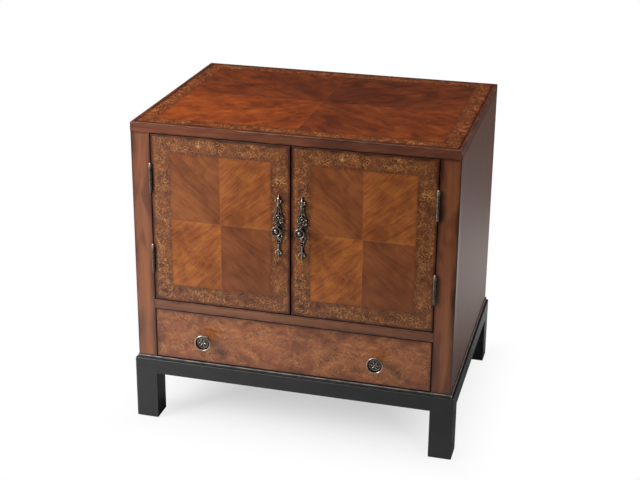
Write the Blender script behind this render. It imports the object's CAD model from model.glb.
import bpy
import math
import numpy as np
from mathutils import Matrix, Vector


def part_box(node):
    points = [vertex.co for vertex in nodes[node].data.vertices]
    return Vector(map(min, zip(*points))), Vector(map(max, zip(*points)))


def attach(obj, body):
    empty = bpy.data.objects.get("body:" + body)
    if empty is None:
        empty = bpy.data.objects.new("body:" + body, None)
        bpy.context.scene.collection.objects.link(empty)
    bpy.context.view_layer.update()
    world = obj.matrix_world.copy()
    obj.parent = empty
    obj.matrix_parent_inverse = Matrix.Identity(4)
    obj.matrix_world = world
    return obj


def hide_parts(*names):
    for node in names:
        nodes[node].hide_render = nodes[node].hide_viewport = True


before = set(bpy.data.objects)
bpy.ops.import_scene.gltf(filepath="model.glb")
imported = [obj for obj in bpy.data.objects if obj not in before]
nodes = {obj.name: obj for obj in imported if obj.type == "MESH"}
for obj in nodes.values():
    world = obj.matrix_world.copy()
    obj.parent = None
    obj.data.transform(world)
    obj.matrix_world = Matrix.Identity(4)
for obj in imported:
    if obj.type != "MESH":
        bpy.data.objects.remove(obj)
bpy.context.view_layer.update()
mm = 0.001
sides = ("left", "right")
print("frame loaded")


def linear(code):
    # an sRGB hex colour as linear RGBA
    parts = [int(code[i:i + 2], 16) / 255 for i in (1, 3, 5)]
    return [p / 12.92 if p <= 0.04045 else ((p + 0.055) / 1.055) ** 2.4 for p in parts] + [1.0]


def addNode(mat, kind, inputs=(), operation=None, out=0, stops=(), **settings):
    # adds a node with its settings, the first of them the operation of a sum; an input is a socket to link
    # or a value to set, and stops are a ramp's places and colours
    tree = mat.node_tree
    node = tree.nodes.new("ShaderNode" + kind)
    if operation:
        settings["operation"] = operation
    for name, value in settings.items():
        setattr(node, name, value)
    for place, value in (inputs.items() if isinstance(inputs, dict) else enumerate(inputs)):
        if isinstance(value, bpy.types.NodeSocket):
            tree.links.new(value, node.inputs[place])
        elif isinstance(value, str):
            node.inputs[place].default_value = linear(value)
        elif value is not None:
            node.inputs[place].default_value = value
    for number, (at, colour) in enumerate(stops):
        ramp = node.color_ramp.elements
        stop = ramp[number] if number < 2 else ramp.new(at)
        stop.position = at
        stop.color = linear(colour)
    return node.outputs[out]


def startMaterial(name, **values):
    # a new material; a value named in camelCase goes straight onto the shader's own socket
    mat = bpy.data.materials.new(name)
    mat.use_nodes = True
    shader = mat.node_tree.nodes["Principled BSDF"]
    for key, value in values.items():
        socket = "".join(" " + c if c.isupper() else c for c in key).title().replace("Ior", "IOR")
        shader.inputs[socket].default_value = linear(value) if isinstance(value, str) else value
    return mat


def addObject(name, data):
    # puts a mesh, a lamp or a camera into the scene
    thing = bpy.data.objects.new(name, data)
    bpy.context.scene.collection.objects.link(thing)
    return thing


def feed(mat, socket, value):
    # links a pattern to one of the shader's sockets
    mat.node_tree.links.new(value, mat.node_tree.nodes["Principled BSDF"].inputs[socket])


def spanOf(node, axes):
    # the middle of a node's box in metres, and half its size along the axes in millimetres
    low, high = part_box(node)
    half = (high - low) / 2 / mm
    return (low + high) / 2, [half["XYZ".index(axis)] for axis in axes]


def placeOf(mat, axes, centre=(0, 0, 0)):
    # where a point lies, in millimetres from a centre, as across, up and out of a flat face
    coords = addNode(mat, "TexCoord", out=3)
    place = addNode(mat, "VectorMath", [coords, list(centre)], "SUBTRACT")
    place = addNode(mat, "VectorMath", {0: place, 3: 1 / mm}, "SCALE")
    parts = addNode(mat, "SeparateXYZ", [place]).node.outputs
    return addNode(mat, "CombineXYZ", [parts["XYZ".index(axis)] for axis in axes])


def foldedIn(mat, place, half):
    # a rectangle folded onto its quarter, and how far a point lies inside its side and its end
    folded = addNode(mat, "VectorMath", [place], "ABSOLUTE")
    inside = addNode(mat, "VectorMath", [(half[0], half[1], 0), folded], "SUBTRACT")
    parts = addNode(mat, "SeparateXYZ", [inside]).node.outputs
    return folded, parts[0], parts[1]


def arrisOf(mat, place, half):
    # how far a point on a box lies from the box's nearest arris: the middle one of its three depths
    folded = addNode(mat, "VectorMath", [place], "ABSOLUTE")
    inside = addNode(mat, "VectorMath", [tuple(half), folded], "SUBTRACT")
    x, y, z = addNode(mat, "SeparateXYZ", [inside]).node.outputs
    lower = addNode(mat, "Math", [x, y], "MINIMUM")
    upper = addNode(mat, "Math", [x, y], "MAXIMUM")
    upper = addNode(mat, "Math", [upper, z], "MINIMUM")
    return addNode(mat, "Math", [lower, upper], "MAXIMUM")


def fibresOf(mat, place, length, width, detail=3.0, distortion=0.4):
    # wood fibres that run along x: noise stretched to a length and a width in millimetres
    drawn = addNode(mat, "Mapping", {0: place, 3: (1 / length, 1 / width, 1 / width)})
    return addNode(mat, "TexNoise", {0: drawn, 2: 1.0, 3: detail, 4: 0.55, 8: distortion})


def patchesOf(mat, place, across, levels, detail=3.0, distortion=0.0):
    # soft patches, some millimetres across: noise taken from two of its levels to two shares
    noise = addNode(mat, "TexNoise", {0: place, 2: 1 / across, 3: detail, 8: distortion})
    return addNode(mat, "MapRange", [noise, *levels])


# settings that many nodes share: a blend of two colours, one that darkens like a stain, an eased range
blend = {"out": 2, "data_type": "RGBA"}
stain = {**blend, "blend_type": "MULTIPLY"}
smooth = {"interpolation_type": "SMOOTHSTEP"}


def rubbedAt(mat, place, colour, arris, width, strength, pale, strokeLength=22):
    # a finish rubbed pale along the arrises, in broken strokes
    strokes = patchesOf(mat, place, strokeLength, (0.38, 0.56, 0.25, 1.0))
    line = addNode(mat, "MapRange", [arris, 0.3 * width, width, strength, 0.0])
    line = addNode(mat, "Math", [line, strokes], "MULTIPLY")
    return addNode(mat, "Mix", {0: line, 6: colour, 7: pale}, **blend)


lacquer = {"roughness": 0.42, "specularIorLevel": 0.16, "coatWeight": 0.25, "coatRoughness": 0.08}
sheen = {"roughness": 0.3, "specularIorLevel": 0.5, "coatWeight": 0.25, "coatRoughness": 0.2}


def straightWood(name, axes, look, node=None):
    # plain-sawn hardwood, stained and lacquered: fibres run along the first axis, with short dark pores.
    # A look for one node may also darken its arrises, rub them pale again and dull the wood behind its face.
    size = {"bands": (400, 22), "pores": (22, 0.9), "smoke": (130, 30)}
    tint = {"smoke": "#a08c7e", "burnish": "#8a6a5a"}
    usual = {"length": 260, "width": 7, "pores": 0.35, "smokeAt": 0, "burnishOver": 30, "notBelow": 0.0}
    look = {**usual, **look}
    mat = startMaterial(name, **look["gloss"])
    centre, half = spanOf(node, axes) if node else ((0, 0, 0), None)
    place = placeOf(mat, axes, centre)
    fibres = fibresOf(mat, place, look["length"], look["width"], 4)
    bands = fibresOf(mat, place, *size["bands"], 2, 0.8)
    tone = addNode(mat, "Math", [fibres, bands], "ADD")
    tone = addNode(mat, "MapRange", [tone, 0.65, 1.35, 0.0, 1.0])
    colour = addNode(mat, "Mix", {0: tone, 6: look["dark"], 7: look["light"]}, **blend)
    pores = fibresOf(mat, place, *size["pores"], 2)
    marks = addNode(mat, "MapRange", [pores, 0.34, 0.44, look["pores"], 0.0])
    colour = addNode(mat, "Mix", {0: marks, 6: colour, 7: look["dark"]}, **stain)
    if "smoke" in look:
        # each piece has its smoky patches in its own places
        smoke = addNode(mat, "VectorMath", [place, (0, 0, look["smokeAt"])], "ADD")
        smoke = fibresOf(mat, smoke, *size["smoke"], 2, 0.8)
        smoke = addNode(mat, "MapRange", [smoke, 0.38, 0.56, look["smoke"], 0.0])
        colour = addNode(mat, "Mix", {0: smoke, 6: colour, 7: tint["smoke"]}, **stain)
    if "burnish" in look:
        arris = arrisOf(mat, place, half)
        reach = (0.15 * look["burnish"], look["burnish"])
        reach = patchesOf(mat, place, look["burnishOver"], (0.35, 0.65, *reach), 2.0)
        near = addNode(mat, "Math", [arris, reach], "DIVIDE")
        near = addNode(mat, "MapRange", [near, 0.0, 2.0, 0.75, 0.0], **smooth)
        colour = addNode(mat, "Mix", {0: near, 6: colour, 7: tint["burnish"]}, **stain)
    if "flank" in look:
        # behind its front face the wood is as dark and as dull as the panel beside it
        outward = addNode(mat, "SeparateXYZ", [place]).node.outputs[2]
        depth = addNode(mat, "Math", [outward, half[2]], "ADD")
        depth = addNode(mat, "MapRange", [depth, 0.05, 1.0, 0.0, 1.0])
        flank, dullness = look["flank"]
        colour = addNode(mat, "Mix", {0: depth, 6: colour, 7: flank}, **stain)
        roughness = addNode(mat, "MapRange", [depth, 0.0, 1.0, look["gloss"]["roughness"], dullness])
        feed(mat, "Roughness", roughness)
    if "rubbed" in look:
        # some pieces are rubbed on their upper arrises alone
        below = addNode(mat, "SeparateXYZ", [place]).node.outputs[1]
        below = addNode(mat, "MapRange", [below, -1.0, 1.0, look["notBelow"], 0.0])
        arris = addNode(mat, "Math", [arris, below], "ADD")
        colour = rubbedAt(mat, place, colour, arris, *look["rubbed"])
    feed(mat, "Base Color", colour)
    feed(mat, "Normal", addNode(mat, "Bump", {0: 1.0, 1: 0.03 * mm, 3: pores}))
    return mat


def fieldVeneer(name, axes, node, look):
    # figured veneer cut in four mirrored leaves: each turns its fibres to another side, so neighbours
    # differ in brightness. Fibres fan out from a point behind the middle: x is the way from it, and y an
    # arc round it. Smoky clouds, golden flares and dark streaks lie over them.
    size = {"fibre": (75, 2.6), "flame": (85, 15), "streak": (26, 2.0), "cloud": 48, "flare": 34,
            "smoke": 70, "seam": 0.9, "rim": 6.0, "leafApart": 90.0, "arc": 1.3 * look["fan"]}
    tint = {"streak": "#8a5e48", "smoke": "#b09a90", "rim": "#a08474"}
    mat = startMaterial(name, **look["gloss"])
    centre, half = spanOf(node, axes)
    place = placeOf(mat, axes, centre)
    folded, inSide, inEnd = foldedIn(mat, place, half)
    angle, reach = math.radians(look["angle"]), look["fan"]
    back = (reach * math.cos(angle), reach * math.sin(angle), 0)
    fromFan = addNode(mat, "VectorMath", [folded, back], "ADD")
    way = addNode(mat, "VectorMath", [fromFan], "LENGTH", out=1)
    fanX, fanY = addNode(mat, "SeparateXYZ", [fromFan]).node.outputs[:2]
    turn = addNode(mat, "Math", [fanY, fanX], "ARCTAN2")
    arc = addNode(mat, "Math", [turn, size["arc"]], "MULTIPLY")
    x, y = addNode(mat, "SeparateXYZ", [place]).node.outputs[:2]
    isRight = addNode(mat, "Math", [x, 0.0], "GREATER_THAN")
    isUpper = addNode(mat, "Math", [y, 0.0], "GREATER_THAN")
    # each leaf comes from its own place in the log
    leafNumber = addNode(mat, "Math", [isUpper, 2.0, isRight], "MULTIPLY_ADD")
    depth = addNode(mat, "Math", [leafNumber, size["leafApart"]], "MULTIPLY")
    grain = addNode(mat, "CombineXYZ", [way, arc, depth])
    fibre = fibresOf(mat, grain, *size["fibre"], 4, 0.7)
    flame = fibresOf(mat, grain, *size["flame"], 3, look["swirl"])
    cloud = addNode(mat, "TexNoise", {0: place, 2: 1 / size["cloud"], 3: 3.0, 8: 0.8})
    tone = addNode(mat, "Math", [flame, 1.1, cloud], "MULTIPLY_ADD")
    tone = addNode(mat, "Math", [fibre, look["straw"], tone], "MULTIPLY_ADD")
    middle = (2.1 + look["straw"]) / 2
    tone = addNode(mat, "MapRange", [tone, middle - look["soft"], middle + look["soft"], 0.0, 1.0])
    dark = addNode(mat, "ValToRGB", [tone], stops=look["dark"])
    light = addNode(mat, "ValToRGB", [tone], stops=look["light"])
    upperLeft, upperRight, lowerLeft, lowerRight = look["leafShares"]
    upper = addNode(mat, "Mix", {0: isRight, 2: upperLeft, 3: upperRight})
    lower = addNode(mat, "Mix", {0: isRight, 2: lowerLeft, 3: lowerRight})
    share = addNode(mat, "Mix", {0: isUpper, 2: lower, 3: upper})
    awayX, awayY = addNode(mat, "SeparateXYZ", [folded]).node.outputs[:2]
    toEnd = addNode(mat, "Math", [awayX, half[0]], "DIVIDE")
    toEnd = addNode(mat, "MapRange", [toEnd, 0.3, 1.0, 0.0, look["ends"]])
    share = addNode(mat, "Math", [share, toEnd], "ADD", use_clamp=True)
    colour = addNode(mat, "Mix", {0: share, 6: dark, 7: light}, **blend)
    # golden flares, then dark streaks along the grain, both in patches
    flare = patchesOf(mat, place, size["flare"], (0.50, 0.78, 0.0, 0.7), distortion=1.5)
    flare = addNode(mat, "Math", [flare, share], "MULTIPLY")
    colour = addNode(mat, "Mix", {0: flare, 6: colour, 7: look["flare"]}, **blend)
    streak = fibresOf(mat, grain, *size["streak"], 2, 1.5)
    streak = addNode(mat, "MapRange", [streak, 0.30, 0.42, 1.0, 0.0])
    patch = addNode(mat, "MapRange", [cloud, 0.40, 0.58, 0.0, 1.0])
    streak = addNode(mat, "Math", [streak, patch], "MULTIPLY")
    paler = addNode(mat, "MapRange", [share, 0.0, 1.0, 0.5, 1.0])
    streak = addNode(mat, "Math", [streak, paler], "MULTIPLY")
    colour = addNode(mat, "Mix", {0: streak, 6: colour, 7: tint["streak"]}, **stain)
    smoke = patchesOf(mat, place, size["smoke"], (0.32, 0.55, 0.45, 0.0), 2.0, 0.6)
    colour = addNode(mat, "Mix", {0: smoke, 6: colour, 7: tint["smoke"]}, **stain)
    # fine pale lines where the leaves meet each other
    near = addNode(mat, "Math", [awayX, awayY], "MINIMUM")
    joint = addNode(mat, "MapRange", [near, size["seam"] / 2, size["seam"], 0.2, 0.0])
    colour = addNode(mat, "Mix", {0: joint, 6: colour, 7: look["seam"]}, **blend)
    # and a smoky line where they meet the border
    rim = addNode(mat, "Math", [inSide, inEnd], "MINIMUM")
    rim = addNode(mat, "MapRange", [rim, 0.0, size["rim"], 0.2, 0.0], **smooth)
    colour = addNode(mat, "Mix", {0: rim, 6: colour, 7: tint["rim"]}, **stain)
    feed(mat, "Base Color", colour)
    feed(mat, "Normal", addNode(mat, "Bump", {0: 1.0, 1: 0.02 * mm, 3: fibre}))
    return mat


def borderVeneer(name, axes, node, look):
    # dark veneer inlaid with fine pale scrollwork. A curl is a spiral: a line lies where the angle round
    # its centre equals the distance from it, counted in turns, and the curls turn left and right in turn.
    # Between them run tendrils: lines along which a soft noise keeps one value.
    size = {"curl": look["curl"], "pitch": look["curl"] * 0.4, "wander": 3.0, "wanderOver": 9,
            "tendril": look["curl"] * 0.65, "patch": 42, "mottle": 30, "shade": 12, "fleck": 3.2,
            "curlsIn": 16}
    mat = startMaterial(name, **look["gloss"])
    centre, half = spanOf(node, axes)
    place = placeOf(mat, axes, centre)
    inSide, inEnd = foldedIn(mat, place, half)[1:]
    shareSide = addNode(mat, "Math", [inSide, look["widths"][0]], "DIVIDE")
    shareEnd = addNode(mat, "Math", [inEnd, look["widths"][1]], "DIVIDE")
    share = addNode(mat, "Math", [shareSide, shareEnd], "MINIMUM")

    # the hand-cut wander of the lines, then cells in rows that are staggered by half a cell
    wander = addNode(mat, "TexNoise", {0: place, 2: 1 / size["wanderOver"], 3: 2.0}, out=1)
    wander = addNode(mat, "VectorMath", [wander, (0.5, 0.5, 0.5)], "SUBTRACT")
    wander = addNode(mat, "VectorMath", {0: wander, 3: 2 * size["wander"]}, "SCALE")
    drawn = addNode(mat, "VectorMath", [place, wander], "ADD")
    cells = addNode(mat, "VectorMath", {0: drawn, 3: 1 / size["curl"]}, "SCALE")
    row = addNode(mat, "Math", [addNode(mat, "SeparateXYZ", [cells]).node.outputs[1]], "FLOOR")
    shift = addNode(mat, "CombineXYZ", [addNode(mat, "Math", [row, 0.5], "MULTIPLY")])
    shifted = addNode(mat, "VectorMath", [cells, shift], "ADD")
    corner = addNode(mat, "VectorMath", [shifted], "FLOOR")
    local = addNode(mat, "VectorMath", [shifted, corner], "SUBTRACT")
    local = addNode(mat, "VectorMath", [local, (1, 1, 0), (-0.5, -0.5, 0)], "MULTIPLY_ADD")
    x, y = addNode(mat, "SeparateXYZ", [local]).node.outputs[:2]
    column = addNode(mat, "SeparateXYZ", [corner])
    parity = addNode(mat, "Math", [column, row], "ADD")
    parity = addNode(mat, "Math", [parity, 2.0], "FLOORED_MODULO")
    hand = addNode(mat, "MapRange", [parity, 0.0, 1.0, -1.0, 1.0])
    swung = addNode(mat, "Math", [y, hand], "MULTIPLY")
    angle = addNode(mat, "Math", [swung, x], "ARCTAN2")
    reach = addNode(mat, "VectorMath", [local], "LENGTH", out=1)
    turns = addNode(mat, "Math", [reach, 2 * math.pi * size["curl"] / size["pitch"]], "MULTIPLY")
    wave = addNode(mat, "Math", [angle, turns], "SUBTRACT")
    wave = addNode(mat, "Math", [wave], "COSINE")
    curl = addNode(mat, "MapRange", [wave, 0.2, 0.75, 0.0, 1.0])
    chosen = patchesOf(mat, place, size["curlsIn"], (0.44, 0.56, 0.0, 1.0), 1.0)
    curl = addNode(mat, "Math", [curl, chosen], "MULTIPLY")
    level = addNode(mat, "TexNoise", {0: place, 2: 1 / size["tendril"], 3: 1.5, 8: 1.2})
    level = addNode(mat, "Math", [level, 0.5], "SUBTRACT")
    level = addNode(mat, "Math", [level], "ABSOLUTE")
    tendril = addNode(mat, "MapRange", [level, 0.01, 0.05, 1.0, 0.0])
    line = addNode(mat, "Math", [curl, tendril], "MAXIMUM")

    # strong on the outer part of the strip and faint on the inner part, and worn thin in patches
    patch = addNode(mat, "TexNoise", {0: place, 2: 1 / size["patch"], 3: 3.0, 8: 0.5})
    worn = addNode(mat, "MapRange", [patch, 0.38, 0.60, 0.45, 0.9])
    flecks = patchesOf(mat, place, size["fleck"], (0.35, 0.6, 0.4, 1.1), 2.0)
    worn = addNode(mat, "Math", [worn, flecks], "MULTIPLY")
    outer = addNode(mat, "MapRange", [share, 0.06, 0.20, 0.0, 1.0])
    inner = addNode(mat, "MapRange", [share, 0.70, 1.0, 1.0, 0.5], **smooth)
    strength = addNode(mat, "Math", [outer, inner], "MULTIPLY")
    strength = addNode(mat, "Math", [strength, worn], "MULTIPLY")
    inlay = addNode(mat, "Math", [line, strength], "MULTIPLY")
    mottle = addNode(mat, "TexNoise", {0: place, 2: 1 / size["mottle"], 3: 5.0, 4: 0.65, 8: 1.0})
    ground = addNode(mat, "ValToRGB", [mottle], stops=look["ground"])
    shade = addNode(mat, "TexNoise", {0: place, 2: 1 / size["shade"], 3: 2.0})
    pale = addNode(mat, "ValToRGB", [shade], stops=look["inlay"])
    colour = addNode(mat, "Mix", {0: inlay, 6: ground, 7: pale}, **blend)
    # burnished dark along the outer edge, smoky along the inner one
    uneven = addNode(mat, "Math", [patch, 0.45, share], "MULTIPLY_ADD")
    burnish = addNode(mat, "MapRange", [uneven, 0.2, look["burnishTo"], 0.75, 0.0], **smooth)
    smoky = addNode(mat, "MapRange", [share, 0.6, 1.0, 0.0, 0.15], **smooth)
    dim = addNode(mat, "Math", [burnish, smoky], "MAXIMUM")
    colour = addNode(mat, "Mix", {0: dim, 6: colour, 7: look["edge"]}, **stain)
    feed(mat, "Base Color", colour)
    feed(mat, "Normal", addNode(mat, "Bump", {0: 1.0, 1: 0.03 * mm, 3: inlay}))
    return mat


def burlVeneer(name, node, look):
    # burl, cut from a knotty growth: a slow level swirl with small blots, short golden flecks that lie
    # aslant in patches, and few eyes. Each leaf mirrors the one beside it and is a little lighter or darker.
    size = {"swirl": (110, 60), "blot": (13, 8), "fleck": (8, 2.2), "slant": math.radians(38), "patch": 34,
            "eye": 9, "edge": 4, "rim": 38}
    mat = startMaterial(name, **sheen)
    centre, half = spanOf(node, "XZY")
    width = 2 * half[0] / look["leaves"]
    place = placeOf(mat, "XZY", centre)
    x, y = addNode(mat, "SeparateXYZ", [place]).node.outputs[:2]
    fromLeft = addNode(mat, "Math", [x, half[0]], "ADD")
    along = addNode(mat, "Math", [fromLeft, width], "PINGPONG")
    matched = addNode(mat, "CombineXYZ", [along, y])
    swirl = fibresOf(mat, matched, *size["swirl"], 4, 2.0)
    blot = fibresOf(mat, matched, *size["blot"], 4, 1.2)
    leaf = addNode(mat, "Math", [fromLeft, width], "DIVIDE")
    leaf = addNode(mat, "Math", [leaf], "FLOOR")
    leaf = addNode(mat, "Math", [leaf, 2.0], "FLOORED_MODULO")
    tone = addNode(mat, "Math", [swirl, 1.3, blot], "MULTIPLY_ADD")
    tone = addNode(mat, "Math", [leaf, 0.1, tone], "MULTIPLY_ADD")
    tone = addNode(mat, "MapRange", [tone, 0.82, 1.58, 0.0, 1.0])
    colour = addNode(mat, "ValToRGB", [tone], stops=look["figure"])
    slanted = addNode(mat, "VectorRotate", {0: matched, 3: size["slant"]})
    fleck = fibresOf(mat, slanted, *size["fleck"], 3, 1.5)
    fleck = addNode(mat, "MapRange", [fleck, 0.48, 0.62, 0.0, 0.65])
    patch = addNode(mat, "TexNoise", {0: place, 2: 1 / size["patch"], 3: 2.0, 8: 0.8})
    fleckShare = addNode(mat, "MapRange", [patch, 0.40, 0.62, 0.15, 1.0])
    fleck = addNode(mat, "Math", [fleck, fleckShare], "MULTIPLY")
    colour = addNode(mat, "Mix", {0: fleck, 6: colour, 7: look["fleck"]}, **blend)
    scaled = addNode(mat, "VectorMath", {0: matched, 3: 1 / size["eye"]}, "SCALE")
    eyes = addNode(mat, "TexVoronoi", {0: scaled, 2: 1.0})
    rare = addNode(mat, "MapRange", [swirl, 0.46, 0.34, 0.0, 1.0])
    eye = addNode(mat, "MapRange", [eyes, 0.06, 0.24, 0.5, 0.0])
    eye = addNode(mat, "Math", [eye, rare], "MULTIPLY")
    colour = addNode(mat, "Mix", {0: eye, 6: colour, 7: look["eye"]}, **stain)
    # burnished round the edge of the front: a dark line, and a softer and uneven rim
    inSide, inEnd = foldedIn(mat, place, half)[1:]
    near = addNode(mat, "Math", [inSide, inEnd], "MINIMUM")
    edge = addNode(mat, "MapRange", [near, 0.0, size["edge"], 0.85, 0.0], **smooth)
    rim = addNode(mat, "Math", [patch, size["rim"], near], "MULTIPLY_ADD")
    rim = addNode(mat, "MapRange", [rim, 0.35 * size["rim"], 1.1 * size["rim"], 0.55, 0.0], **smooth)
    edge = addNode(mat, "Math", [edge, rim], "MAXIMUM")
    colour = addNode(mat, "Mix", {0: edge, 6: colour, 7: look["edge"]}, **stain)
    feed(mat, "Base Color", colour)
    feed(mat, "Normal", addNode(mat, "Bump", {0: 1.0, 1: 0.02 * mm, 3: blot}))
    return mat


def blackLacquer(name, ends, rubbed):
    # black lacquer over solid wood, sprayed and rubbed: satin, with grain just telling through and paler
    # arrises; the piece reaches from the low corner of the first node to the high corner of the other
    size = {"cloud": 40, "grain": (60, 3)}
    mat = startMaterial(name, roughness=0.42, specularIorLevel=0.4)
    low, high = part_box(ends[0])[0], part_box(ends[1])[1]
    place = placeOf(mat, "XYZ", (low + high) / 2)
    cloud = addNode(mat, "TexNoise", {0: place, 2: 1 / size["cloud"], 3: 3.0})
    colour = addNode(mat, "Mix", {0: cloud, 6: "#262627", 7: "#313132"}, **blend)
    arris = arrisOf(mat, place, (high - low) / 2 / mm)
    feed(mat, "Base Color", rubbedAt(mat, place, colour, arris, *rubbed))
    grain = fibresOf(mat, place, *size["grain"], 2)
    feed(mat, "Normal", addNode(mat, "Bump", {0: 1.0, 1: 0.04 * mm, 3: grain}))
    return mat


def castMetal(name, dark, light, rubFrom, patchSize=2.5, roughness=0.26):
    # cast brass, antiqued: a brown-black patina that is rubbed back to pale metal on the high spots,
    # which the pieces mark in their attribute
    mat = startMaterial(name, metallic=0.95)
    place = placeOf(mat, "XYZ")
    rub = addNode(mat, "Attribute", out=2, attribute_name="rub")
    patch = addNode(mat, "TexNoise", {0: place, 2: 1 / patchSize, 3: 3.0})
    uneven = addNode(mat, "MapRange", [patch, 0.3, 0.7, 0.7, 1.15])
    worn = addNode(mat, "Math", [rub, uneven], "MULTIPLY")
    worn = addNode(mat, "MapRange", [worn, rubFrom, 1.05, 0.0, 1.0])
    feed(mat, "Base Color", addNode(mat, "Mix", {0: worn, 6: dark, 7: light}, **blend))
    feed(mat, "Roughness", addNode(mat, "MapRange", [worn, 0.0, 1.0, roughness + 0.2, roughness]))
    feed(mat, "Normal", addNode(mat, "Bump", {0: 1.0, 1: 0.04 * mm, 3: patch}))
    return mat


def hingeMetal(name, look):
    # bronzed steel butt hinges, rubbed pale on the finials at both ends of each pin and on the upper knuckle
    mat = startMaterial(name, metallic=0.9, roughness=0.4)
    low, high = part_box("hinge_pins")
    place = placeOf(mat, "XZY", (low + high) / 2)
    height = addNode(mat, "SeparateXYZ", [place]).node.outputs[1]
    fromMiddle = addNode(mat, "Math", [height], "ABSOLUTE")
    fromPin = addNode(mat, "Math", [fromMiddle, look["pinMiddle"]], "SUBTRACT")
    fromPin = addNode(mat, "Math", [fromPin], "ABSOLUTE")
    finial = addNode(mat, "MapRange", [fromPin, look["pinHalf"], look["pinHalf"] + 1, 0.0, 1.0])
    # the height above the middle of a point's own pin
    isUpper = addNode(mat, "Math", [height], "SIGN")
    upward = addNode(mat, "Math", [isUpper, look["pinMiddle"]], "MULTIPLY")
    upward = addNode(mat, "Math", [height, upward], "SUBTRACT")
    start = look["pinHalf"] - look["knuckle"]
    knuckle = addNode(mat, "MapRange", [upward, start, start + look["knuckleFade"], 0.0, 0.7])
    finial = addNode(mat, "Math", [finial, knuckle], "MAXIMUM")
    worn = patchesOf(mat, place, look["patch"], (0.45, 0.75, 0.0, 0.35))
    worn = addNode(mat, "Math", [worn, finial], "MAXIMUM")
    feed(mat, "Base Color", addNode(mat, "Mix", {0: worn, 6: look["colour"], 7: look["pale"]}, **blend))
    return mat


def platedSteel(name, patchSize=3):
    # zinc-plated steel: cool grey with faint cloudy patches
    mat = startMaterial(name, metallic=1.0, roughness=0.32)
    patch = addNode(mat, "TexNoise", {0: placeOf(mat, "XYZ"), 2: 1 / patchSize, 3: 3.0})
    feed(mat, "Base Color", addNode(mat, "Mix", {0: patch, 6: "#8b8d90", 7: "#a5a6a6"}, **blend))
    return mat


topLook = {
    "angle": 35, "fan": 260, "leafShares": (0.12, 0.0, 0.85, 0.25), "ends": 0.3, "soft": 0.31,
    "swirl": 0.7, "straw": 0.6,
    "dark": ((0.0, "#4c210e"), (0.5, "#682e14"), (1.0, "#803b18")),
    "light": ((0.0, "#723214"), (0.5, "#924219"), (1.0, "#ab531e")),
    "flare": "#b85c20", "seam": "#a0602f", "gloss": lacquer,
}
doorLook = {
    "angle": 39, "fan": 460, "leafShares": (0.15, 0.85, 1.0, 0.0), "ends": 0.0, "soft": 0.32,
    "swirl": 1.8, "straw": 0.2,
    "dark": ((0.0, "#6c3b20"), (0.5, "#804827"), (1.0, "#8f532b")),
    "light": ((0.0, "#7c411e"), (0.5, "#9d582b"), (1.0, "#b86f34")),
    "flare": "#b87226", "seam": "#b07e52", "gloss": {**sheen, "specularIorLevel": 0.3},
}
doorBorderLook = {
    "widths": (38.5, 35.5), "curl": 13.0,
    "ground": ((0.34, "#50291a"), (0.5, "#66371e"), (0.66, "#7c4524")),
    "inlay": ((0.35, "#9c653c"), (0.65, "#cf9355")),
    "edge": "#7c5c46", "burnishTo": 0.4, "gloss": {**sheen, "specularIorLevel": 0.4},
}
topBorderLook = {
    "widths": (35, 35), "curl": 17.0,
    "ground": ((0.34, "#4a2211"), (0.5, "#683018"), (0.66, "#803c1b")),
    "inlay": ((0.35, "#a65c2e"), (0.65, "#e0904a")),
    "edge": "#86604a", "burnishTo": 0.48, "gloss": lacquer,
}
burlLook = {
    "leaves": 4,
    "figure": ((0.0, "#5e321e"), (0.3, "#7e4629"), (0.6, "#955432"), (0.85, "#a6653a"), (1.0, "#b67a46")),
    "fleck": "#d0904e", "eye": "#8a5a3e", "edge": "#7c5a46",
}
frontLook = {
    "dark": "#6b3c25", "light": "#935834", "width": 14, "pores": 0.12, "burnish": 6, "burnishOver": 75,
    "smoke": 0.7, "smokeAt": {"left": 1100, "right": 0}, "flank": ("#ccc8dc", 0.46), "gloss": sheen,
}
railLook = {
    "dark": "#633824", "light": "#8a5534", "width": 8, "pores": 0.12, "burnish": 3, "smoke": 0.4,
    "rubbed": (0.9, 0.35, "#c0a090"), "gloss": sheen,
}
lippingLook = {
    "dark": "#563022", "light": "#864d32", "width": 9, "pores": 0.2, "burnish": 3, "smoke": 0.4,
    "rubbed": (0.9, 0.6, "#b8aaa0"), "notBelow": 10.0, "gloss": {"roughness": 0.5, "specularIorLevel": 0.2},
}
sideLook = {
    "dark": "#582f1b", "light": "#744124", "pores": 0.0,
    "gloss": {"roughness": 0.46, "specularIorLevel": 0.6},
}
plainLook = {"length": 180, "width": 5, "gloss": {"roughness": 0.5, "specularIorLevel": 0.3}}
insideLook = {**plainLook, "dark": "#3c2114", "light": "#5d3620"}
timberLook = {**plainLook, "dark": "#7a5a3c", "light": "#a9835a"}
coreLook = {**plainLook, "dark": "#2a180f", "light": "#442818"}
drawerLook = {**plainLook, "dark": "#a07850", "light": "#c8a074"}
hingeLook = {
    "colour": "#635e52", "pale": "#d6ccba", "patch": 4,
    "pinHalf": 30.5, "pinMiddle": 84.5,  # half a pin's length, and its way from half the door's height
    "knuckle": 12, "knuckleFade": 10,  # the pale part at the top of each
}

legRub = (1.2, 0.35, "#a8a4a0")  # how wide in millimetres, how strong and what colour
mouldingRub = (2.1, 0.75, "#ccbaae")

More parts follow.
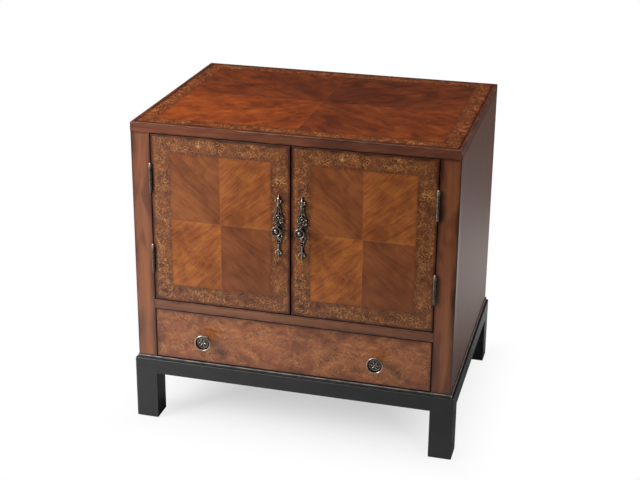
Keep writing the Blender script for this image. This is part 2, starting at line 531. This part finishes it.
materials = {
    "black_lacquer": blackLacquer("blackLacquer", ("leg_front_left", "leg_back_right"), legRub),
    # moulded black nylon glides: a soft dull sheen
    "glide_nylon": startMaterial("blackNylon", baseColor="#1c1c1c", roughness=0.5),
    "plain_timber": straightWood("planedTimber", "YXZ", timberLook),
    "inside_panel": straightWood("stainedInside", "XZY", insideLook),
    "side_wood": straightWood("sideWood", "ZYX", sideLook),
    "core_board": straightWood("coreBoard", "XZY", coreLook),
    "drawer_box_wood": straightWood("drawerBoxWood", "YXZ", drawerLook),
    "antique_metal": castMetal("castBrass", "#1d1713", "#b8a698", 0.2),
    "antique_knob_metal": castMetal("castMedallion", "#171512", "#d2c4b6", 0.0),
    "hinge_metal": hingeMetal("bronzedHinge", hingeLook),
    "steel": platedSteel("platedSteel"),
    # brown moulded plastic of the catch bodies: a soft dull sheen
    "catch_plastic": startMaterial("brownPlastic", baseColor="#3a2418", roughness=0.45),
    # the finishes that are made for one node
    "base_moulding": blackLacquer("mouldingLacquer", ("base_moulding", "base_moulding"), mouldingRub),
    "top_lipping": straightWood("edgeWood", "XZY", lippingLook, "top_lipping"),
    "top_border_veneer": borderVeneer("topBorderVeneer", "XYZ", "top_border_veneer", topBorderLook),
    "top_field_veneer": fieldVeneer("topFieldVeneer", "XYZ", "top_field_veneer", topLook),
    "middle_rail": straightWood("railWood", "XZY", railLook, "middle_rail"),
    "drawer_front_veneer": burlVeneer("burlVeneer", "drawer_front_veneer", burlLook),
}
for side in sides:
    stile, door, label = "front_stile_" + side, "door_" + side, side.title()
    field, border = door + "_field_veneer", door + "_border_veneer"
    stileLook = {**frontLook, "smokeAt": frontLook["smokeAt"][side]}
    materials[stile] = straightWood("stileWood" + label, "ZXY", stileLook, stile)
    materials[field] = fieldVeneer("doorFieldVeneer" + label, "XZY", field, doorLook)
    materials[border] = borderVeneer("doorBorderVeneer" + label, "XZY", border, doorBorderLook)
print("materials ready")


def finishFor(node):
    # a node's own finish, or else that of the first of these words which its name holds
    words = {
        "leg_": "black_lacquer", "apron_": "black_lacquer", "hinge": "hinge_metal", "screw": "steel",
        "strike": "steel", "pins": "steel", "drawer_knob": "antique_knob_metal", "_knob": "antique_metal",
        "_plate": "antique_metal", "core": "core_board", "drawer_front": "core_board",
        "drawer_guides": "plain_timber", "drawer_kickers": "plain_timber", "drawer_": "drawer_box_wood",
        "side_panel": "side_wood", "_panel": "inside_panel", "case_bottom": "inside_panel",
        "shelf": "inside_panel", "catches": "catch_plastic", "glides": "glide_nylon", "": "plain_timber",
    }
    return materials.get(node) or materials[next(words[word] for word in words if word in node)]


for node, part in nodes.items():
    part.data.materials.clear()
    part.data.materials.append(finishFor(node))
print("nodes dressed")


# The cast hardware: closed surfaces in millimetres, as across, up and out from a place on the front

def skinOf(grid, rub, loop=False):
    # quads between rings of points; a fan closes each end, or the last ring meets the first
    rings, around = grid.shape[:2]
    first = np.arange(rings if loop else rings - 1)[:, None] * around
    second = (first + around) % (rings * around)
    j = np.arange(around)[None]
    k = (j + 1) % around
    quads = np.stack([first + j, first + k, second + k, second + j], -1).reshape(-1, 4)
    fans = np.zeros((0, 3), int)
    points = grid.reshape(-1, 3)
    values = np.broadcast_to(rub, (rings, around)).reshape(-1)
    if not loop:
        end = rings * around
        last = end - around
        points = np.concatenate([points, grid[:1].mean(1), grid[-1:].mean(1)])
        values = np.append(values, [values[0], values[-1]])
        fans = np.concatenate([np.stack([k[0], j[0], np.full(around, end)], -1),
                               np.stack([last + j[0], last + k[0], np.full(around, end + 1)], -1)])
    return points, quads, fans, values


def outwards(points, quads, fans):
    # the faces turned so that the volume they enclose is positive
    triangles = np.concatenate([quads[:, [0, 1, 2]], quads[:, [0, 2, 3]], fans])
    a, b, c = (points[triangles[:, i]] for i in range(3))
    positive = np.einsum("ij,ij->", a, np.cross(b, c)) > 0
    return (quads, fans) if positive else (quads[:, ::-1], fans[:, ::-1])


def eased(t, places, values):
    # a curve through the values that is level at each of them
    places, values = np.array(places, float), np.array(values, float)
    k = np.clip(np.searchsorted(places, t, side="right") - 1, 0, len(places) - 2)
    u = np.clip((t - places[k]) / (places[k + 1] - places[k]), 0, 1)
    return values[k] + (values[k + 1] - values[k]) * (1 - np.cos(np.pi * u)) / 2


def rodOf(path, radius, height, flat=1.0, bright=1.0, facets=18):
    # circles carried along a path in the plane: centre + radius (cos a sideways + flat sin a outwards),
    # cut level with the surface it lies on; the ridge is rubbed bright
    path = np.asarray(path, float)
    ahead = np.gradient(path, axis=0)
    ahead /= np.linalg.norm(ahead, axis=1, keepdims=True) + 1e-9
    sideways = np.stack([-ahead[:, 1], ahead[:, 0]], -1)
    turn = np.linspace(0, 2 * np.pi, facets, endpoint=False)
    wide = radius[:, None] * np.cos(turn)
    grid = np.empty((len(path), facets, 3))
    grid[..., :2] = path[:, None] + wide[..., None] * sideways[:, None]
    grid[..., 2] = np.maximum(height + flat * radius[:, None] * np.sin(turn), 0.02)
    rub = bright * np.clip(2.4 * np.sin(turn) - 1.4, 0, 1) * np.ones((len(path), 1))
    return skinOf(grid, rub)


def scrollOf(centre, radii, angles, thick, height=1.6, mirror=1, steps=40):
    # a rod along a spiral: the radius runs evenly from one value to the other as the angle turns
    t = np.linspace(0, 1, steps)
    reach = radii[0] + (radii[1] - radii[0]) * t
    angle = np.radians(angles[0] + (angles[1] - angles[0]) * t)
    path = np.stack([mirror * (centre[0] + reach * np.cos(angle)), centre[1] + reach * np.sin(angle)], -1)
    ends = np.sqrt(np.clip(np.minimum(t, 1 - t) * 8, 0.02, 1))
    return rodOf(path, (thick[0] + (thick[1] - thick[0]) * t) * ends, height)


def ballOf(centre, radii, height, steps=(14, 22)):
    # an ellipsoid by latitude and longitude, cut level with the surface it lies on
    lat = np.linspace(-np.pi / 2, np.pi / 2, steps[0] + 2)[1:-1, None]
    lon = np.linspace(0, 2 * np.pi, steps[1], endpoint=False)[None]
    grid = np.stack([centre[0] + radii[0] * np.cos(lat) * np.cos(lon),
                     centre[1] + radii[1] * np.cos(lat) * np.sin(lon),
                     np.maximum(height + radii[2] * np.sin(lat) + 0 * lon, 0.02)], -1)
    return skinOf(grid, np.clip(1.9 * np.sin(lat) - 0.6, 0, 1) * np.ones_like(lon))


def ringOf(centre, radius, thick, height, steps=(40, 14)):
    # a round rod bent into a ring that lies flat
    turn = np.linspace(0, 2 * np.pi, steps[0], endpoint=False)[:, None]
    spin = np.linspace(0, 2 * np.pi, steps[1], endpoint=False)[None]
    reach = radius + thick * np.cos(spin)
    grid = np.stack([centre[0] + reach * np.cos(turn), centre[1] + reach * np.sin(turn),
                     np.maximum(height + thick * np.sin(spin) + 0 * turn, 0.02)], -1)
    return skinOf(grid, np.clip(2 * np.sin(spin) - 0.9, 0, 1) * np.ones_like(turn), loop=True)


def turnedOf(centre, profile, steps, relief=None):
    # a profile of (radius, height, rub) spun round the outward axis; relief adds height by radius and angle
    profile = np.array(profile, float)
    turn = np.linspace(0, 2 * np.pi, steps, endpoint=False)[None]
    radius, height, rub = (profile[:, i, None] for i in range(3))
    grid = np.stack([centre[0] + radius * np.cos(turn), centre[1] + radius * np.sin(turn),
                     height + 0 * turn], -1)
    rub = rub + 0 * turn
    if relief is not None:
        lift, shine = relief(radius, turn)
        grid[..., 2] += lift
        rub = np.clip(rub + shine, 0, 1)
    return skinOf(grid, rub)


def addPiece(name, skins, place, mat, body, replaced, slotName):
    # joins closed skins into one object; millimetres out from the front become metres in the frame
    points, quads, fans, rub, count = [], [], [], [], 0
    for skinPoints, skinQuads, skinFans, skinRub in skins:
        metres = np.stack([place[0] + skinPoints[:, 0] * mm, place[1] - skinPoints[:, 2] * mm,
                           place[2] + skinPoints[:, 1] * mm], -1)
        skinQuads, skinFans = outwards(metres - metres.mean(0), skinQuads, skinFans)
        quads.append(skinQuads + count)
        fans.append(skinFans + count)
        points.append(metres)
        rub.append(skinRub)
        count += len(metres)
    mesh = bpy.data.meshes.new(name)
    faces = np.concatenate(quads).tolist() + np.concatenate(fans).tolist()
    mesh.from_pydata(np.concatenate(points), [], faces)
    mesh.shade_smooth()
    mesh.set_sharp_from_angle(angle=math.radians(50))
    marks = mesh.attributes.new("rub", "FLOAT", "POINT")
    marks.data.foreach_set("value", np.concatenate(rub).astype(np.float32))
    mesh.materials.append(mat)
    piece = addObject(name, mesh)
    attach(piece, body)
    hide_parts(replaced)


drop = ((0, 0.25, 0.52, 0.78, 1), (6.6, 7.8, 5.4, 3.3, 2.4))
lowDrop = ((0, 0.3, 0.62, 1), (2.8, 3.6, 5.6, 6.6))
pullPlate = {
    # upright forms: foot, top, shares of the way and radii there, height, flatness and brightness
    "uprights": ((46.2, 66.4, (0, 0.15, 0.45, 0.8, 1), (1.6, 3.0, 3.6, 1.5, 0.1), 1.4, 0.8, 1.0),
                 (11.5, 44.0, *drop, 1.0, 0.3, 0.0),
                 (25.2, 44.0, (0, 0.5, 1), (2.0, 1.2, 1.4), 2.2, 1.0, 1.0),
                 (-36.0, -12.0, *lowDrop, 0.5, 0.28, 0.0),
                 (-47.0, -35.0, (0, 0.5, 1), (3.0, 2.6, 3.2), 0.7, 0.8, 1.0),
                 (-66.4, -47.0, (0, 0.3, 0.62, 0.9, 1), (0.1, 1.5, 3.2, 2.2, 1.6), 1.4, 0.8, 1.0)),
    # rims on both sides of a form: foot, top, shares and radii, thickness and height
    "rims": ((11.5, 44.0, *drop, 0.9, 1.9), (-36.0, -12.0, *lowDrop, 0.8, 1.6)),
    # scrolls on both sides: centre, radii, degrees, thickness and height
    "scrolls": (((2.9, 52.5), (2.9, 2.0), (-150, 50), (1.9, 1.5), 1.6),
                ((2.9, 30.0), (2.2, 0.9), (-80, 200), (1.1, 0.8), 1.8),
                ((6.2, 12.6), (4.1, 2.6), (-120, 75), (1.3, 1.0), 1.6),
                ((4.2, 9.6), (2.7, 1.0), (200, -160), (1.2, 0.9), 2.0),
                ((2.9, -52.4), (3.1, 2.1), (150, -50), (1.8, 1.5), 1.6)),
    # beads on both sides, then those in the middle: centre, radii and height
    "pairedBeads": (((5.2, 54.2), (2.3, 2.4, 2.3), 2.2), ((8.9, 18.6), (1.8, 2.0, 2.0), 1.6),
                    ((6.8, -18.6), (1.5, 1.6, 1.6), 1.6), ((5.2, -54.4), (2.3, 2.3, 2.1), 2.0)),
    "beads": (((0, 46.2), (4.3, 1.4, 2.2), 1.4), ((0, 43.2), (3.0, 1.1, 1.7), 1.2),
              ((0, 19.2), (2.4, 2.4, 3.0), 1.8), ((0, -23.9), (1.9, 1.9, 2.6), 1.6),
              ((0, -31.5), (2.4, 1.2, 2.0), 1.2), ((0, -47.6), (3.4, 1.3, 2.0), 1.4)),
    # rings round the boss and the dome: centre, radius, thickness and height
    "rings": (((0, 19.2), 5.3, 1.0, 2.7), ((0, -23.9), 3.4, 0.8, 2.2)),
    # the rosette's profile: radius, height and rub
    "rosetteUp": -3.2,
    "rosette": ((0.2, 0.02, 0), (11.1, 0.02, 0), (11.3, 0.9, 0.6), (10.8, 1.9, 1), (9.9, 1.7, 0.1),
                (9.0, 1.2, 0), (8.2, 2.2, 1), (7.2, 1.9, 0.1), (6.4, 1.6, 0), (5.6, 2.6, 1),
                (4.6, 2.7, 0.1), (0.2, 2.7, 0)),
    "flutes": 14, "fluteRise": 0.4, "fluted": (7.0, 11.0),
}


def makePlateSkins(s):
    # a cast plate: a lily at the top, a drop-shaped body with a ringed boss and two arms, the rosette under
    # the knob, a smaller drop with a dome, a thin neck and a cross with a point
    t = np.linspace(0, 1, 48)

    def uprightOf(low, high, places, radii, height, flat, bright):
        # a rod up the middle, which swells and narrows
        path = np.stack([0 * t, low + (high - low) * t], -1)
        return rodOf(path, eased(t, places, radii), height, flat, bright=bright)

    def rimOf(mirror, low, high, places, radii, thick, height):
        # a thin rod along one edge of such a form
        path = np.stack([mirror * eased(t, places, radii), low + (high - low) * t], -1)
        return rodOf(path, thick * np.sqrt(np.clip(np.minimum(t, 1 - t) * 12, 0.05, 1)), height)

    def flutes(r, a):
        # shallow flutes near the rosette's edge
        low, high = s["fluted"]
        return np.where((r > low) & (r < high), s["fluteRise"] * np.cos(s["flutes"] * a), 0), 0

    skins = [uprightOf(*form) for form in s["uprights"]]
    for mirror in (-1, 1):
        skins += [rimOf(mirror, *rim) for rim in s["rims"]]
        skins += [scrollOf(*scroll, mirror) for scroll in s["scrolls"]]
        skins += [ballOf((mirror * x, y), *rest) for (x, y), *rest in s["pairedBeads"]]
    skins += [ballOf(*bead) for bead in s["beads"]] + [ringOf(*ring) for ring in s["rings"]]
    return skins + [turnedOf((0, s["rosetteUp"]), s["rosette"], 84, flutes)]


# a profile's points are radius, height and rub; the middle ring's heights are below the top
pullKnob = {
    "back": ((0.2, 2.4, 0), (6.4, 2.4, 0), (6.5, 3.2, 0.5), (5.4, 4.1, 0.1), (4.2, 5.6, 0), (4.2, 10.5, 0),
             (4.9, 12.6, 0), (6.4, 14.8, 0.1), (7.9, 16.6, 0.2), (8.7, 18.4, 0.1)),
    "top": 22.0, "rimMiddle": (9.0, 20.0), "rimRound": 1.1,
    "ring": ((8.0, 3.0, 0.2), (7.6, 2.4, 0.8), (6.7, 2.3, 0.8), (6.2, 3.1, 0.2), (5.2, 3.6, 0.2)),
    "dome": 4.7, "domeRise": 3.0,
}


def makePullKnobSkins(s):
    # a turned knob: footed stem, a swelling back, a rounded rim, a middle ring and a polished dome
    (middle, level), bulge = s["rimMiddle"], s["rimRound"]
    rim = [(middle + bulge * np.cos(x), level + bulge * np.sin(x), max(0.1, np.sin(x)))
           for x in np.linspace(-0.5 * np.pi, np.pi, 14)]
    ring = [(radius, s["top"] - below, rub) for radius, below, rub in s["ring"]]
    dome = [(s["dome"] * np.cos(x) + 0.05, s["top"] + s["domeRise"] * (np.sin(x) - 1), 0.1 + 0.9 * np.sin(x))
            for x in np.linspace(0, np.pi / 2, 10)]
    return [turnedOf((0, 0), [*s["back"], *rim, *ring, *dome], 56)]


medallion = {
    "back": ((0.2, 0.02, 0), (5.2, 0.02, 0), (5.2, 1.0, 0.7), (4.6, 1.8, 0.3), (3.5, 4.2, 0), (3.5, 17.6, 0),
             (5.5, 19.6, 0), (10.0, 20.4, 0), (14.4, 21.0, 0.1), (15.9, 22.2, 0.3)),
    "rimMiddle": (15.45, 23.9), "rimRound": 1.05, "groove": ((14.1, 22.2, 0), (12.9, 21.9, 0)),
    "face": 12.4, "faceRise": (22.2, 0.5),
    "petals": 6, "petalFrom": 2.0, "petalTo": 8.4, "petalTurn": 55, "petalRise": 1.2,
    "beads": 18, "beadRing": 10.6, "beadWidth": 0.9, "dot": 1.6, "dotRise": 1.3,
}


def makeMedallionSkins(s):
    # a cast rosette in a plain rim, on a flange and stem: petals are the positive part of a cosine round
    # the middle, and the bead ring is another with a higher count
    (middle, level), bulge = s["rimMiddle"], s["rimRound"]
    rim = [(middle + bulge * np.cos(x), level + bulge * np.sin(x), np.clip(0.6 + np.sin(x), 0.55, 1))
           for x in np.linspace(-0.35 * np.pi, 0.98 * np.pi, 12)]
    low, rise = s["faceRise"]
    face = [(r, low + rise * (1 - r / s["face"]), 0.1) for r in np.linspace(s["face"], 0.25, 44)]

    def relief(r, a):
        turn = a - math.radians(s["petalTurn"])
        along = (r - s["petalFrom"]) / (s["petalTo"] - s["petalFrom"])
        petal = np.clip(np.cos(s["petals"] * turn), 0, 1) ** 0.8 * np.clip(np.sin(np.pi * along), 0, 1)
        petal *= (along > 0) & (along < 1)
        hoop = np.exp(-((r - s["beadRing"]) / s["beadWidth"]) ** 2)
        beads = hoop * (0.6 + 0.4 * np.cos(s["beads"] * turn))
        dot = np.clip(1 - (r / s["dot"]) ** 2, 0, 1) ** 0.5
        onFace = (r < s["face"] + 0.2) & (r > 0.21)
        lift = np.where(onFace, s["petalRise"] * petal + beads + s["dotRise"] * dot, 0)
        return lift, np.where(onFace, petal + 0.6 * beads + 1.2 * dot, 0)

    return [turnedOf((0, 0), [*s["back"], *rim, *s["groove"], *face], 144, relief)]


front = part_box("door_left_field_veneer")[0].y
for side in sides:
    door = "door_" + side
    for name, node, body, skins, finish in (
            (door + "_cast_plate", door + "_plate", door, makePlateSkins(pullPlate), "antique_metal"),
            (door + "_turned_knob", door + "_knob", door, makePullKnobSkins(pullKnob), "antique_metal"),
            ("drawer_medallion_" + side, "drawer_knob_" + side, "drawer", makeMedallionSkins(medallion),
             "antique_knob_metal")):
        centre = spanOf(node, "XYZ")[0]
        addPiece(name, skins, (centre.x, front, centre.z), materials[finish], body, node, finish)
print("hardware made")


# The floor, the air, the lamps and the camera, in metres

paperFloor = {
    "reach": 14.0, "footprint": (0.33, 0.25),
    "white": (-0.22, 0.1, 0.55, 1.0),  # between two distances from the footprint, from a share to another
    "stripAt": 0.78, "stripFade": (0.1, 0.55),
    "frontFrom": (-0.24, -0.31),
    "leftFrom": (-0.48, -0.72), "leftUntil": (-3.2, -1.2),
    "nearUntil": (-1.1, -0.75), "nearFrom": (0.1, -0.45), "nearLevel": 0.42,  # dimmer on the right
}


def makeFloor(sizes):
    # a pale matt floor, which the camera sees go over to plain white paper round the cabinet's foot. A
    # shiny face mirrors its well lit parts: a strip behind the cabinet, and in front of the cabinet the
    # floor on the left and near the foot.
    reach = sizes["reach"]
    mesh = bpy.data.meshes.new("studioFloor")
    mesh.from_pydata([(-reach, -reach, 0), (reach, -reach, 0), (reach, reach, 0), (-reach, reach, 0)],
                     [], [(0, 1, 2, 3)])
    mat = startMaterial("whitePaper", roughness=0.9, specularIorLevel=0.0, baseColor="#d4d4d4")
    coords = addNode(mat, "TexCoord", out=3)
    x, y = addNode(mat, "SeparateXYZ", [coords]).node.outputs[:2]

    folded = addNode(mat, "VectorMath", [coords], "ABSOLUTE")
    beyond = addNode(mat, "VectorMath", [folded, (*sizes["footprint"], 0)], "SUBTRACT")
    beyond = addNode(mat, "SeparateXYZ", [beyond]).node.outputs
    away = addNode(mat, "Math", [beyond[0], beyond[1]], "MAXIMUM")
    white = addNode(mat, "MapRange", [away, *sizes["white"]], **smooth)

    strip = addNode(mat, "Math", [y, sizes["stripAt"]], "SUBTRACT")
    strip = addNode(mat, "Math", [strip], "ABSOLUTE")
    strip = addNode(mat, "MapRange", [strip, *sizes["stripFade"], 1.0, 0.0])
    front = addNode(mat, "MapRange", [y, *sizes["frontFrom"], 0.0, 1.0])
    left = addNode(mat, "MapRange", [x, *sizes["leftFrom"], 0.0, 1.0])
    leftEnd = addNode(mat, "MapRange", [y, *sizes["leftUntil"], 0.0, 1.0])
    left = addNode(mat, "Math", [left, leftEnd], "MULTIPLY")
    near = addNode(mat, "MapRange", [x, *sizes["nearFrom"], sizes["nearLevel"], 1.0])
    nearEnd = addNode(mat, "MapRange", [y, *sizes["nearUntil"], 0.0, 1.0])
    near = addNode(mat, "Math", [near, nearEnd], "MULTIPLY")
    frontLevel = addNode(mat, "Math", [left, near], "MAXIMUM")

    path = mat.node_tree.nodes.new("ShaderNodeLightPath").outputs
    mirror = addNode(mat, "Math", [path["Is Glossy Ray"], path["Is Transmission Ray"]], "MAXIMUM")
    white = addNode(mat, "Math", [white, path["Is Camera Ray"]], "MULTIPLY")
    lit = addNode(mat, "Math", [strip, front], "MAXIMUM")
    lit = addNode(mat, "Math", [lit, mirror], "MULTIPLY")
    lit = addNode(mat, "Math", [white, lit], "MAXIMUM")
    front = addNode(mat, "Math", [front, mirror], "MULTIPLY")
    level = addNode(mat, "Mix", {0: front, 2: 1.0, 3: frontLevel})
    glow = addNode(mat, "Emission", ["#ffffff", level])
    shader = mat.node_tree.nodes["Principled BSDF"]
    mixed = addNode(mat, "MixShader", [lit, shader.outputs[0], glow])
    mat.node_tree.links.new(mixed, mat.node_tree.nodes["Material Output"].inputs[0])
    mesh.materials.append(mat)
    addObject("studioFloor", mesh)


def makeWorld():
    # soft studio air: plain white to the camera, and in a shiny face white low down and dim overhead
    world = bpy.data.worlds.new("studioAir")
    bpy.context.scene.world = world
    world.use_nodes = True
    tree = world.node_tree
    direction = addNode(world, "TexCoord", out=0)
    height = addNode(world, "SeparateXYZ", [direction]).node.outputs[2]
    horizon = addNode(world, "MapRange", [height, 0.0, 0.06, 1.0, 0.0], **smooth)
    path = tree.nodes.new("ShaderNodeLightPath").outputs
    glossy = addNode(world, "Math", [path["Is Glossy Ray"], horizon], "MULTIPLY")
    seen = addNode(world, "Math", [path["Is Camera Ray"], glossy], "MAXIMUM")
    seen = addNode(world, "Math", [seen, path["Is Transmission Ray"]], "MAXIMUM")
    level = addNode(world, "MapRange", [seen, 0.0, 1.0, 0.05, 1.0])
    tree.links.new(level, tree.nodes["Background"].inputs["Strength"])
    tree.nodes["Background"].inputs["Color"].default_value = linear("#ffffff")


def addLamp(name, place, aim, size, watts):
    # a square lamp at a place, turned to a point
    data = bpy.data.lights.new(name, "AREA")
    data.shape = "SQUARE"
    data.size = size
    data.energy = watts
    turn = (Vector(aim) - Vector(place)).to_track_quat("-Z", "Y")
    addObject(name, data).matrix_world = Matrix.LocRotScale(Vector(place), turn, None)


camera = {"place": (0.642, -2.496, 1.380), "yaw": 15.38, "pitch": 20.23, "roll": 0.28,
          "focalPixels": 1321, "centrePixel": (300, 200), "image": (640, 480), "sensor": 36.0}


def makeCamera(sizes):
    # a view from a place: yaw turns it left of straight back, pitch tips it down and roll leans it
    yaw, pitch, roll = (math.radians(sizes[k]) for k in ("yaw", "pitch", "roll"))
    ahead = Vector((-math.sin(yaw) * math.cos(pitch), math.cos(yaw) * math.cos(pitch), -math.sin(pitch)))
    side = Vector((math.cos(yaw), math.sin(yaw), 0))
    above = side.cross(ahead)
    right = side * math.cos(roll) + above * math.sin(roll)
    up = above * math.cos(roll) - side * math.sin(roll)
    data = bpy.data.cameras.new("view")
    width, height = sizes["image"]
    data.sensor_width = sizes["sensor"]
    data.lens = sizes["focalPixels"] / width * sizes["sensor"]
    data.shift_x = (width / 2 - sizes["centrePixel"][0]) / width
    data.shift_y = (sizes["centrePixel"][1] - height / 2) / width
    data.clip_end = 100
    view = addObject("view", data)
    turn = Matrix((right, up, -ahead)).transposed().to_4x4()
    view.matrix_world = Matrix.Translation(Vector(sizes["place"])) @ turn
    bpy.context.scene.camera = view


lamps = {
    "keyLamp": {"place": (-1.2, -0.95, 1.05), "aim": (0, 0, 0.4), "size": 0.75, "watts": 31},
    "overheadLamp": {"place": (-0.5, -0.1, 2.4), "aim": (0, 0, 0.4), "size": 1.4, "watts": 23},
    "fillLamp": {"place": (2.4, -2.0, 1.2), "aim": (0, 0, 0.35), "size": 1.5, "watts": 1.5},
    "sideLamp": {"place": (2.0, 0.5, 1.3), "aim": (0.3, 0, 0.3), "size": 1.0, "watts": 13},
}

makeFloor(paperFloor)
makeWorld()
for name, values in lamps.items():
    addLamp(name, **values)
makeCamera(camera)
bpy.context.scene.view_settings.view_transform = "Standard"
print("stage ready")
